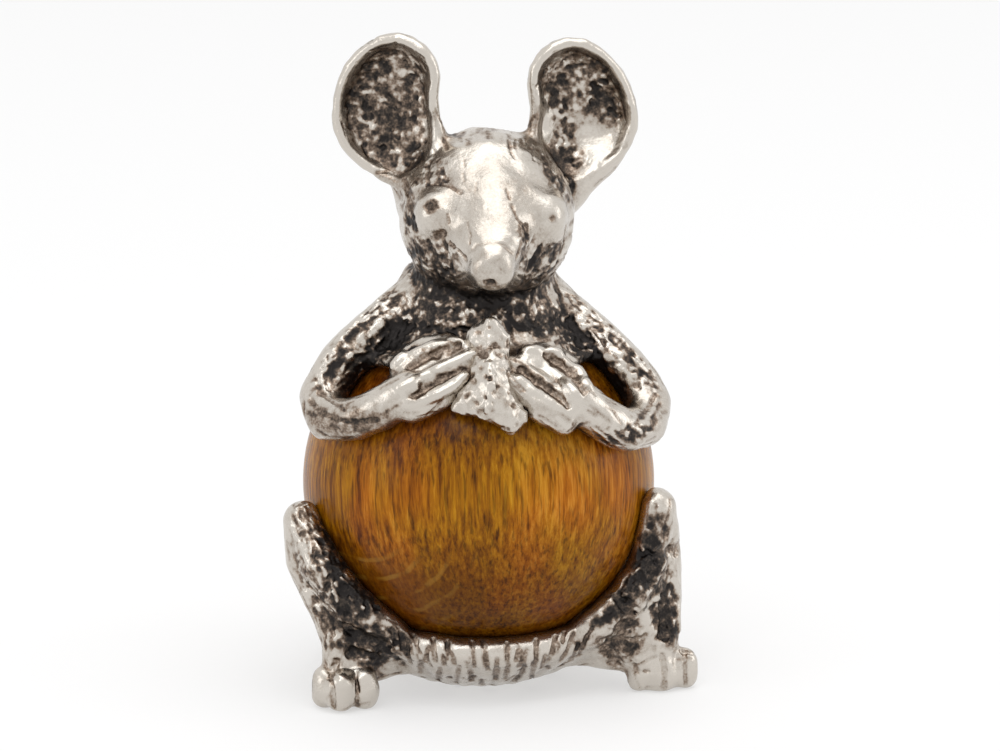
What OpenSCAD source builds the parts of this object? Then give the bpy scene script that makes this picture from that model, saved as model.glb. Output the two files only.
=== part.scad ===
// Seated mouse figurine: an antiqued, cast metal mouse that clasps a turned wooden ball as its belly.
// Millimetres. +Z is up, the mouse faces -Y, and the origin is on the ground under the ball's axis.
// Left and right are the mouse's own sides: its left side is +X.

/* [Ball] */
// Diameter of the turned wooden ball
ball_d = 30; // [28:0.5:32]

/* [Post] */
// Diameter of the post that threads seat, ball, chest and head together
post_d = 3; // [2.4:0.1:3.6]

/* [Seat] */
// Wall of the bowl under the ball
seat_wall = 2.6; // [2.2:0.1:3]
// Height taken off the bowl's round bottom for it to stand on
seat_flat = 0.65; // [0.5:0.05:0.9]
// Angle of the rim, measured up from the bowl's lowest point
rim_angle = 54; // [50:1:58]
// Backward tilt of the rim, so that the bowl is lowest in front
rim_tilt = 12; // [8:0.5:15]
// Number of chased grooves round the bowl
groove_n = 40; // [24:1:48]
// Width of one chased groove
groove_w = 0.7; // [0.4:0.05:0.8]

/* [Chest] */
// Thickness of the cape over the ball's crown
chest_wall = 2.4; // [2:0.1:2.8]
// Thickness of the cape at its hem
hem_wall = 1.2; // [1:0.1:1.5]
// Elevation of the cape's hem on the ball
hem_angle = 50; // [46:1:54]
// Diameter of the neck under the head
neck_d = 12.2; // [11:0.2:13]

/* [Head] */
// Width over the cheeks
head_w = 14.8; // [14:0.1:15.6]
// Height of the skull
head_h = 13.8; // [13:0.1:14.6]
// Length from the back of the skull to the tip of the nose
head_l = 18.6; // [17.5:0.1:19.5]

/* [Ears] */
// Width of an ear
ear_w = 9.6; // [9:0.1:10.4]
// Length of an ear from its root to its tip
ear_l = 12.8; // [11.5:0.1:13.5]
// Depth of an ear's cup
ear_cup = 2.6; // [2:0.1:3]
// Thickness of an ear's rolled rim
ear_rim = 1.1; // [0.9:0.05:1.3]

/* [Eyes] */
// Diameter of an eye bead
eye_d = 4.3; // [3.8:0.1:4.6]
// Diameter of the drilled pupil
pupil_d = 0.8; // [0.6:0.05:1]

/* [Limbs] */
// Thickness of the upper arm
arm_d = 4; // [3.6:0.1:4.4]
// Thickness of a finger
finger_d = 1.5; // [1.3:0.05:1.7]
// Thickness of the thigh
leg_d = 4.4; // [4:0.1:4.8]
// Thickness of a toe
toe_d = 2; // [1.8:0.05:2.2]
// Thickness of the tail at its root
tail_d = 2.8; // [2.4:0.1:3.2]

/* [Fits] */
// Solder or glue line between pieces that are seated on each other
seam = 0.05; // [0.03:0.01:0.1]
// Clearance of the post in the ball's bore and in its sockets
post_clearance = 0.1; // [0.05:0.05:0.2]

/* [Hidden] */

left = 1;
right = -1;
limb_fn = 16;
digit_fn = 12;
round_fn = 64;
cut = 80;

ball_r = ball_d / 2;
bore_d = post_d + 2 * post_clearance;
seat_r = ball_r + seam + seat_wall;
ball_z = seat_r - seat_flat;
chest_r = ball_r + seam + chest_wall;

// The post stands in a blind socket in the seat's floor and ends in one in the skull
socket_floor = 0.7;
head_at = [0.5, -1.5, ball_z + chest_r + 0.48 * head_h];
head_turn = 6;
head_roll = 3;
post_top = head_at[2] - 0.15 * head_h;

// Direction at an azimuth from the front, positive to the mouse's left, and an elevation
function aim(az, el) = [cos(el) * sin(az), -cos(el) * cos(az), sin(el)];
// Point that stands off the ball by a lift
function on_ball(az, el, lift) = [0, 0, ball_z] + (ball_r + lift) * aim(az, el);
// Route stations [azimuth, elevation, stand-off, girth] become points and diameters of a limb
// of the given thickness; the stand-off is in the limb's own radii
function limb_at(s, d) = on_ball(s[0], s[1], s[2] * s[3] * d / 2);
function limb(route, d) = [for (s = route) [limb_at(s, d), s[3] * d]];

// Rounded limb through [point, diameter] stations
module chain(stations, fn, grow = 0) {
    for (i = [1:len(stations) - 1])
        hull()
            for (s = [stations[i - 1], stations[i]])
                translate(s[0])
                    sphere(d = s[1] + 2 * grow, $fn = fn);
}

// Closed solid through rings that all have the same number of points
module loft(rings) {
    n = len(rings[0]);
    last = len(rings) - 1;
    sides = [
        for (j = [0:last - 1], i = [0:n - 1])
            let (a = j * n + i, b = j * n + (i + 1) % n)
                each [[a, b, a + n], [b, b + n, a + n]]
    ];
    ends = [[for (i = [n - 1:-1:0]) i], [for (i = [0:n - 1]) last * n + i]];
    polyhedron([for (r = rings) each r], concat(sides, ends));
}

// The hollow that a piece needs where it lies on the ball
module ball_hollow() {
    translate([0, 0, ball_z])
        sphere(r = ball_r + seam, $fn = round_fn);
}

module below_ground() {
    translate([0, 0, -cut / 2])
        cube(cut, center = true);
}

// Ball, post and the sockets that the post fits

module post_hole(from, to) {
    translate([0, 0, from])
        cylinder(d = bore_d, h = to - from, $fn = round_fn);
}

module belly_ball() {
    color("sienna")
        difference() {
            translate([0, 0, ball_z])
                sphere(d = ball_d, $fn = 2 * round_fn);
            post_hole(0, ball_z + ball_d);
        }
}

module centre_post() {
    chamfer = post_d / 8;
    length = post_top - socket_floor - 2 * post_clearance;
    color("gainsboro")
        translate([0, 0, socket_floor + post_clearance])
            rotate_extrude($fn = round_fn)
                polygon([
                    [0, 0], [post_d / 2 - chamfer, 0], [post_d / 2, chamfer],
                    [post_d / 2, length - chamfer], [post_d / 2 - chamfer, length], [0, length]
                ]);
}

// Seat: a bowl with a round lip, chased with grooves and flattened underneath

module bowl_profile(grow) {
    lip_at = ball_r + seam + seat_wall / 2;
    intersection() {
        union() {
            difference() {
                circle(r = seat_r + grow, $fn = round_fn);
                circle(r = ball_r + seam - grow, $fn = round_fn);
                rotate(rim_angle - 90)
                    square(cut);
                translate([-cut, 0])
                    square([2 * cut, cut]);
            }
            rotate(rim_angle - 90)
                translate([lip_at, 0])
                    circle(d = seat_wall + 2 * grow, $fn = round_fn);
        }
        translate([0, -cut / 2])
            square([cut, cut]);
    }
}

module bowl(grow = 0) {
    translate([0, 0, ball_z])
        rotate([rim_tilt, 0, 0])
            rotate_extrude($fn = round_fn)
                bowl_profile(grow);
}

module bowl_groove(turn) {
    sweep = 26;
    translate([0, 0, ball_z])
        rotate([rim_tilt, 0, 0])
            rotate([0, 0, turn])
                rotate([90, 0, 0])
                    rotate(rim_angle - 92 - sweep)
                        rotate_extrude(angle = sweep, $fn = round_fn)
                            translate([seat_r + groove_w / 8, 0])
                                circle(d = groove_w, $fn = round_fn);
}

module seat() {
    color("silver")
        difference() {
            bowl();
            for (i = [0:groove_n - 1])
                bowl_groove(360 * i / groove_n);
            post_hole(socket_floor, ball_z);
            below_ground();
        }
}

// Chest: a cape on the ball's crown, with a neck that the head sits over

// Radius of the sphere, centred on the axis, that passes through the crown and the hem
hem_r = ball_r + seam + hem_wall / 2;
hem_drop = chest_r - hem_r * sin(hem_angle);
cape_r = (pow(hem_r * cos(hem_angle), 2) + pow(hem_drop, 2)) / (2 * hem_drop);

module chest_profile(grow) {
    neck_top = chest_r + 0.1 * head_h;
    neck_r = neck_d / 2 + grow;
    neck_flare = 1.3;
    intersection() {
        union() {
            intersection() {
                translate([0, chest_r - cape_r])
                    circle(r = cape_r + grow, $fn = round_fn);
                rotate(hem_angle)
                    square(cut);
            }
            rotate(hem_angle)
                translate([hem_r, 0])
                    circle(d = hem_wall + 2 * grow, $fn = round_fn);
            polygon([[0, ball_r], [neck_flare * neck_r, ball_r], [neck_r, neck_top + grow], [0, neck_top + grow]]);
        }
        square(cut);
    }
}

module chest_body(grow = 0) {
    translate([0, 0, ball_z])
        rotate_extrude($fn = round_fn)
            chest_profile(grow);
}

module chest() {
    color("dimgray")
        difference() {
            chest_body();
            ball_hollow();
            post_hole(ball_z, ball_z + 2 * ball_d);
        }
}

// Head: one lofted casting from the back of the skull to the nose, with pockets for the eyes

// Sections [place along the head, height of the middle, half width, half height] as shares of
// the head's length, height, width and height
head_sections = [
    [-0.370, 0.02, 0.06, 0.06],
    [-0.350, 0.02, 0.17, 0.18],
    [-0.300, 0.01, 0.29, 0.31],
    [-0.215, 0.00, 0.40, 0.42],
    [-0.100, -0.01, 0.475, 0.485],
    [0.020, -0.02, 0.50, 0.50],
    [0.140, -0.03, 0.485, 0.475],
    [0.245, -0.06, 0.42, 0.42],
    [0.325, -0.10, 0.32, 0.34],
    [0.400, -0.145, 0.225, 0.25],
    [0.470, -0.185, 0.155, 0.18],
    [0.535, -0.205, 0.132, 0.15],
    [0.590, -0.21, 0.118, 0.132],
    [0.620, -0.21, 0.078, 0.088],
    [0.630, -0.21, 0.03, 0.034]
];
brow_power = 2 / 1.9;
jaw_power = 2 / 2.35;
head_sides = 28;

function signed_pow(v, p) = sign(v) * pow(abs(v), p);
function head_ring(s, grow) = [
    for (i = [0:head_sides - 1])
        let (
            a = -360 * i / head_sides,
            p = sin(a) < 0 ? jaw_power : brow_power
        )
            [
                (s[2] * head_w + grow) * signed_pow(cos(a), p),
                -s[0] * head_l,
                s[1] * head_h + (s[3] * head_h + grow) * signed_pow(sin(a), p)
            ]
];

module on_head() {
    translate(head_at)
        rotate([0, head_roll, -head_turn])
            children();
}

// The bridge of the snout is a straight ridge from the brow to the nose
snout_bridge = [
    [[0, -0.22 * head_l, 0.13 * head_h], 0.42 * head_w],
    [[0, -0.53 * head_l, -0.19 * head_h], 0.25 * head_w]
];

module head_body(grow = 0) {
    on_head() {
        loft([for (s = head_sections) head_ring(s, grow)]);
        chain(snout_bridge, limb_fn, grow);
    }
}

// The mouth is a drilled hole under the tip of the nose
mouth_d = 0.7;
mouth_at = [0, -0.6 * head_l, -0.3 * head_h];

// Where an eye bead's centre is on the head, and which way its pupil looks
function eye_place(side) = [side * 0.285 * head_w, -0.265 * head_l, 0.03 * head_h];
eye_out = 32;
eye_up = 10;

module head() {
    color("silver")
        difference() {
            head_body();
            chest_body(seam);
            post_hole(ball_z, post_top);
            on_head() {
                for (side = [left, right])
                    translate(eye_place(side))
                        rotate(90)
                            sphere(d = eye_d + 2 * seam, $fn = round_fn);
                translate(mouth_at)
                    sphere(d = mouth_d, $fn = round_fn);
            }
        }
}

module eye(side) {
    pupil_depth = eye_d / 6;
    color("gainsboro")
        on_head()
            translate(eye_place(side))
                rotate([-eye_up, 0, side * eye_out])
                    difference() {
                        sphere(d = eye_d, $fn = round_fn);
                        translate([0, -eye_d / 2 + pupil_depth, 0])
                            rotate([90, 0, 0])
                                cylinder(d = pupil_d, h = eye_d, $fn = round_fn);
                    }
}

// Ears: cupped shells with a rolled rim, on a short root that meets the skull

// Outline of an ear as shares of its width, towards the skull, and of its length, upwards
ear_outline = [
    [0.475, -0.02], [0.48, 0.11], [0.495, 0.22], [0.46, 0.33], [0.38, 0.415], [0.27, 0.47],
    [0.14, 0.50], [0, 0.48], [-0.14, 0.43], [-0.27, 0.355], [-0.37, 0.26], [-0.44, 0.15],
    [-0.49, 0.04], [-0.51, -0.07], [-0.50, -0.18], [-0.44, -0.285], [-0.345, -0.38], [-0.225, -0.46],
    [-0.085, -0.525], [0.08, -0.57], [0.25, -0.57], [0.41, -0.485], [0.50, -0.35], [0.51, -0.18]
];
// Where the cup is deepest
ear_mid = [0.02, -0.03];
rim_steps = 4;
cup_steps = [0.35, 0.65, 0.86];

// One ring of an ear's shell: the outline drawn in by a share towards the deepest point
function ear_ring(side, share, depth) =
    let (last = len(ear_outline) - 1)
        [
            for (i = [0:last])
                let (
                    p = ear_outline[side == right ? i : last - i],
                    q = ear_mid + share * (p - ear_mid)
                )
                    [-side * q[0] * ear_w, depth, q[1] * ear_l]
        ];
function cup_depth(share) = ear_cup * (1 - pow(share, 2.4));
function ear_shell(side) = concat(
    [for (k = concat([0.05], cup_steps)) ear_ring(side, k, cup_depth(k))],
    [
        for (i = [0:rim_steps])
            let (
                a = 180 * i / rim_steps,
                share = 1 - (1 - sin(a)) * ear_rim / ear_w - (1 + cos(a)) * 0.02
            )
                ear_ring(side, share, ear_rim / 2 * (1 - cos(a)) + (i == rim_steps ? ear_rim / 10 : 0))
    ],
    [for (k = [0.86, 0.65, 0.35, 0.05]) ear_ring(side, k, cup_depth(k) + ear_rim)]
);

// The root spreads from the skull over the back of the shell
module ear_root(side) {
    root_d = 0.3 * ear_w;
    behind = cup_depth(0.5) + root_d / 2;
    hull() {
        for (inward = [-0.1, 0.25])
            translate([-side * inward * ear_w, behind, -0.22 * ear_l])
                sphere(d = root_d, $fn = limb_fn);
        translate([-side * 0.22 * ear_w, 0.8 * ear_cup, -0.62 * ear_l])
            sphere(d = 1.3 * root_d, $fn = limb_fn);
    }
}

module ear(side, place, lean, turn) {
    color("silver")
        difference() {
            translate(place)
                rotate([0, side * lean, side * turn]) {
                    loft(ear_shell(side));
                    ear_root(side);
                }
            head_body(seam);
        }
}

// The ears were set by hand: each has its own place beside the skull, lean and outward turn
module left_ear() {
    ear(left, head_at + [0.575 * head_w, 0.07 * head_l, 0.57 * head_h], -2, 2);
}

module right_ear() {
    ear(right, head_at + [-0.575 * head_w, 0.07 * head_l, 0.63 * head_h], 2, 22);
}

// Arms: they lie on the ball from the shoulder round the elbow to a paw with three fingers

left_arm_route = [
    [84, 78, 0.8, 0.95], [78, 67, 0.8, 1], [72, 53, 0.65, 0.97], [68, 40, 0.75, 1],
    [66, 27.5, 0.9, 1], [56, 22.7, 0.9, 0.95], [44, 23.5, 0.9, 0.9], [35, 29, 0.9, 0.9], [27, 36, 0.9, 0.95]
];
right_arm_route = [
    [-84, 78, 0.75, 0.95], [-79, 67, 0.95, 1.05], [-77, 55, 0.9, 1], [-76, 43, 0.95, 1],
    [-76, 31, 0.9, 1], [-67, 26.5, 0.9, 0.95], [-54, 28.5, 0.9, 0.9], [-44, 33.5, 0.9, 0.9], [-36, 39, 0.9, 0.95]
];
// How far a finger's middle stands off the ball
finger_lift = 1.3 * finger_d;
left_fingers = [
    [[32, 42], [26, 50], [14, 52]],
    [[23, 34], [15.5, 42], [6, 49.5]],
    [[21, 30.5], [12.5, 35], [4, 43.5]]
];
right_fingers = [
    [[-43, 47], [-31, 54.5], [-17, 55]],
    [[-37, 39.5], [-24, 46], [-11, 52]],
    [[-33, 35], [-24, 39], [-15, 44.5]]
];

module fingers(routes, grow = 0) {
    for (route = routes)
        chain([for (s = route) [on_ball(s[0], s[1], finger_lift), finger_d]], digit_fn, grow);
}

// The palm fills the space between the fingers and the ball, and thins towards their tips
module palm(routes, grow = 0) {
    palm_d = finger_d * [1.7, 1.45, 1.2];
    hull()
        for (route = routes, k = [0:len(palm_d) - 1])
            translate(on_ball(route[k][0], route[k][1], palm_d[k] / 2))
                sphere(d = palm_d[k] + 2 * grow, $fn = digit_fn);
}

module arm(route, finger_routes) {
    color("silver")
        difference() {
            union() {
                chain(limb(route, arm_d), limb_fn);
                palm(finger_routes);
                fingers(finger_routes);
            }
            ball_hollow();
            chest_body(seam);
            head_body(seam);
        }
}

module left_arm() {
    arm(left_arm_route, left_fingers);
}

module right_arm() {
    arm(right_arm_route, right_fingers);
}

// Morsel: a broken crumb on the ball, held between the paws

// Lumps of the crumb, each the corners [azimuth, elevation, stand-off] of a hull, in the radii of
// the small balls that round the corners
morsel_lumps = [
    [[-9, 57, 4.2], [2, 56, 4.2], [-4, 60.5, 4.6], [-3, 58, 6], [-8, 52.5, 3], [1, 52, 3]],
    [[-17, 37, 1.6], [-11, 47, 2.4], [-6, 50, 4], [-5, 41, 4.4], [-5, 34.5, 2.6], [1, 48, 2.6]],
    [[-5, 43, 3.4], [0, 49, 2.6], [-1, 33, 2.4], [2, 30, 1.6], [6.5, 33, 1.8], [4, 42, 2.2]]
];
morsel_round = 1.3;

module morsel() {
    color("silver")
        difference() {
            for (corners = morsel_lumps)
                hull()
                    for (c = corners)
                        translate(limb_at([c[0], c[1], c[2], 1], morsel_round))
                            sphere(d = morsel_round, $fn = digit_fn);
            ball_hollow();
            chest_body(seam);
            for (routes = [left_fingers, right_fingers]) {
                fingers(routes, seam);
                palm(routes, seam);
            }
        }
}

// Legs: thigh along the ball from the seat to the knee, shin outside it, and a foot with three toes

left_thigh = [[41, -41, 0.9, 0.75], [50, -31, 1.05, 0.75], [57, -20, 1, 0.75], [61, -3.5, 0.55, 0.8]];
right_thigh = [[-46, -40, 0.9, 0.75], [-55, -28, 1.1, 0.75], [-64, -17, 1.1, 0.8], [-75.5, -6.5, 0.8, 0.75]];
left_shin = [[68, -19, 1.15, 0.75], [68, -31, 2.3, 0.75], [62, -39, 3.7, 0.72]];
right_shin = [[-72.5, -17, 1.1, 0.82], [-67, -27.5, 1.35, 0.8], [-60.5, -37, 2.4, 0.72]];
// Where the web between the seat and the foot leaves the bowl
left_web = [44, -55, 1.3, 0.6];
right_web = [-47, -56, 1.3, 0.6];
// Toes [azimuth, distance from the ball's axis in ball radii]
left_toes = [[58, 0.98], [60, 1.12], [65.5, 1.22]];
right_toes = [[-61, 1.11], [-53.5, 1.1], [-51, 0.96]];
// How high a toe stands, and the share of the way back to the heel over which it stays that high
toe_height = 1.75 * toe_d;
heel_share = 0.45;

module foot(toes, ankle) {
    heel = [ankle[0], ankle[1], toe_d / 2];
    for (t = toes) {
        tip = t[1] * ball_r * aim(t[0], 0);
        low = tip + [0, 0, 0.45 * toe_d];
        high = tip + [0, 0, toe_height - toe_d / 2];
        back = low + heel_share * (heel - low);
        hull()
            for (p = [low, high, [back[0], back[1], high[2]]])
                translate(p)
                    sphere(d = toe_d, $fn = digit_fn);
        chain([[[back[0], back[1], high[2]], toe_d], [heel, toe_d]], digit_fn);
    }
    chain([[ankle, 0.7 * leg_d], [heel, 0.7 * leg_d]], limb_fn);
}

// Thin wall of metal that closes the space between the given points
module web(points) {
    hull()
        for (p = points)
            translate(p)
                sphere(d = 0.45 * leg_d, $fn = digit_fn);
}

module leg(thigh, shin, web_start, toes) {
    thighs = limb(thigh, leg_d);
    shins = limb(shin, leg_d);
    knee = thighs[len(thigh) - 1];
    ankle = shins[len(shin) - 1][0];
    heel = [ankle[0], ankle[1], toe_d];
    color("silver")
        difference() {
            union() {
                chain(thighs, limb_fn);
                chain(concat([knee], shins), limb_fn);
                web([thighs[0][0], thighs[1][0], thighs[2][0], shins[0][0], shins[1][0], ankle]);
                web([limb_at(web_start, leg_d), thighs[0][0], ankle, heel]);
                foot(toes, ankle);
            }
            ball_hollow();
            bowl(seam);
            below_ground();
        }
}

module left_leg() {
    leg(left_thigh, left_shin, left_web, left_toes);
}

module right_leg() {
    leg(right_thigh, right_shin, right_web, right_toes);
}

// Tail: from the back of the seat it curls along the ground behind the body

tail_steps = 9;
tail_sweep = 86;
tail_taper = 0.6;

// Station at a share of the tail's length: it leaves the bowl high and comes down as it turns
function tail_at(share) =
    let (
        d = tail_d * (1 - tail_taper * share),
        drop = pow(max(0, 1 - 3 * share), 2),
        reach = seat_r * (1.02 - 0.3 * drop - 0.1 * share)
    )
        [reach * aim(180 - tail_sweep * share, 0) + [0, 0, 0.48 * d + tail_d * drop], d];

module tail() {
    color("silver")
        difference() {
            chain([for (i = [0:tail_steps]) tail_at(i / tail_steps)], digit_fn);
            bowl(seam);
            below_ground();
        }
}

seat();
belly_ball();
centre_post();
chest();
head();
left_ear();
right_ear();
eye(left);  // left_eye
eye(right);  // right_eye
left_arm();
right_arm();
morsel();
left_leg();
right_leg();
tail();
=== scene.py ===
import functools
from math import asin, ceil, cos, pi, radians, sin, sqrt

import bpy
import numpy as np
import openvdb as vdb
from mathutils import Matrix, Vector


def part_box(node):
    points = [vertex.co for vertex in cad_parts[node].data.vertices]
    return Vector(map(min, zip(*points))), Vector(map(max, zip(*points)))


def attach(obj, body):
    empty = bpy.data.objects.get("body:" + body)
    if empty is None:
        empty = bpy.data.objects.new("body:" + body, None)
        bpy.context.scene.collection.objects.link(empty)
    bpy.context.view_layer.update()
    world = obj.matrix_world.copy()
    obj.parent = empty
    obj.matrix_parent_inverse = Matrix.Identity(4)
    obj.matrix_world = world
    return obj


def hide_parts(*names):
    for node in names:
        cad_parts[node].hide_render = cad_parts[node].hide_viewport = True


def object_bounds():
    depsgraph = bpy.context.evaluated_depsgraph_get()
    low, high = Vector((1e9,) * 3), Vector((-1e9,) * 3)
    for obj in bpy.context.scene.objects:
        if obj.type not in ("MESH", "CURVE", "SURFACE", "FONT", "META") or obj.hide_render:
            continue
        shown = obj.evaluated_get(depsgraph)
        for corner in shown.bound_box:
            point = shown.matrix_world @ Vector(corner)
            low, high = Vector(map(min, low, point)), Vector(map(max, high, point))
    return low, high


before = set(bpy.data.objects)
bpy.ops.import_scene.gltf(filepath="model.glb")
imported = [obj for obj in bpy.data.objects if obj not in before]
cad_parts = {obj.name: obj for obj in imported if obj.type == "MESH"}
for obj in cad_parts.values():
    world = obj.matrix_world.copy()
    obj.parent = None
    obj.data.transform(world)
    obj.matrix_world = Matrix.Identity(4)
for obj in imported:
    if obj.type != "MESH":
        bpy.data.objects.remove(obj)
cad_low, cad_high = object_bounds()

# Sculpting works in millimetres, on fields of signed distance that start from the CAD nodes
MM = 1000.0
rng = np.random.default_rng(11)
BALL = np.array([0.0, 0.0, 17.0])
BALL_R = 15.0
# The gap that castings keep from the ball, and how far fields know their distance
SEAM = 0.05
REACH = 1.7
# Cells of the castings and of the morsel, space left round them, and cells to a coarse cell
STEP, FINE_STEP = 0.12, 0.1
MARGIN = 1.2
COARSE = 4
# How far a blur looks, in sigmas, and its sigma in cells for ragged edges and for crowding
BLUR_REACH, RAGGED_CELLS, CROWD_CELLS = 2.6, 1.4, 3.2
# How uneven a groove's edges are, how much wider its darkening is, and the most that a place takes
RAGGED = 0.4
SOOT_AND_SHADE_SPREAD, MOST_SOOT_AND_SHADE = 1.5, 0.85
# How steeply a softening fades at its edge, and what blurring takes off a casting
SOFT_EDGE, CAST_FILL = 1.6, 0.03
# Bumps of the cast skins: sizes in cells and heights in millimetres
CAST_DENTS = ((5, 0.035), (2.5, 0.012))
CRUMB_DENTS = ((6, 0.05), (2, 0.03))
# How far flat places of a skin may be merged into larger faces
MERGE = {"chest": 0.02, "seat": 0.03}

# The photograph's view: its eye, its axes and a pixel's size at the ball, the reach and the step of its
# lines of sight round the ball's middle, and the pixels between points of a path
AZIMUTH, ELEVATION, DISTANCE, PIXEL = radians(-9), radians(15), 450.0, 0.08547
PHOTO = (1000, 751)
SENSOR = 36.0
BALL_AT = (478.5, 479.5)
SIGHT_REACH, SIGHT_STEP, PATH_STEP = 26, 0.1, 4
BACK = np.array([sin(AZIMUTH) * cos(ELEVATION), -cos(AZIMUTH) * cos(ELEVATION), sin(ELEVATION)])
RIGHT = np.array([cos(AZIMUTH), sin(AZIMUTH), 0.0])
UP = np.cross(BACK, RIGHT)
EYE = BALL + DISTANCE * BACK


def photo_point(x, y):
    """The point at a pixel of the photograph, on the plane that faces the eye at the ball's middle."""
    return BALL + (x - BALL_AT[0]) * PIXEL * RIGHT + (BALL_AT[1] - y) * PIXEL * UP


def node_mesh(name):
    """Points and triangles of a CAD node, in millimetres."""
    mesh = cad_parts[name].data
    mesh.calc_loop_triangles()
    co = np.empty(len(mesh.vertices) * 3, np.float32)
    mesh.vertices.foreach_get("co", co)
    tri = np.empty(len(mesh.loop_triangles) * 3, np.int32)
    mesh.loop_triangles.foreach_get("vertices", tri)
    return co.reshape(-1, 3) * MM, tri.reshape(-1, 3)


def node_box(name):
    """The low and high corners of a CAD node's box, in millimetres."""
    return [np.array(corner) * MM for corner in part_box(name)]


def squared(axes, middle):
    """The squared distance of a grid's places from a point."""
    x, y, z = axes
    return (x - middle[0]) ** 2 + (y - middle[1]) ** 2 + (z - middle[2]) ** 2


def off_bar(axes, a, b):
    """A grid's squared distance from a bar between two points, and the share of its way."""
    x, y, z = (axis - v for axis, v in zip(axes, a))
    d = b - a
    n = float(d @ d)
    t = np.clip((x * d[0] + y * d[1] + z * d[2]) / n, 0, 1) if n > 1e-9 else 0.0
    return (x - t * d[0]) ** 2 + (y - t * d[1]) ** 2 + (z - t * d[2]) ** 2, t


def smooth_union(a, b, k):
    """Two shapes in one, with a fillet over a length k where both distances are known."""
    h = np.maximum(k - np.abs(a - b), 0)
    known = np.clip((REACH - np.maximum(a, b)) * 2, 0, 1)
    return np.minimum(a, b) - known * h * h * (0.25 / k)


def blur(field, sigma):
    """Gaussian blur, sigma in cells."""
    n = max(1, ceil(BLUR_REACH * sigma))
    w = np.exp(-0.5 * (np.arange(-n, n + 1) / sigma) ** 2)
    w = (w / w.sum()).astype(np.float32)
    for axis in range(3):
        pad = [(0, 0)] * 3
        pad[axis] = (n, n)
        big = np.pad(field, pad, mode="edge")
        size = field.shape[axis]
        out = np.zeros_like(field)
        for i in range(2 * n + 1):
            part = [slice(None)] * 3
            part[axis] = slice(i, i + size)
            out += w[i] * big[tuple(part)]
        field = out
    return field


def trilinear(field, q):
    """Values of a field at places counted in its cells."""
    q = np.clip(q, 0, np.array(field.shape) - 1.001)
    i = q.astype(np.int32)
    f = q - i
    out = np.zeros(len(q), np.float32)
    for corner in np.ndindex(2, 2, 2):
        w = np.abs(1 - np.array(corner) - f).prod(1)
        a, b, c = (i + corner).T
        out += w * field[a, b, c]
    return out


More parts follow.
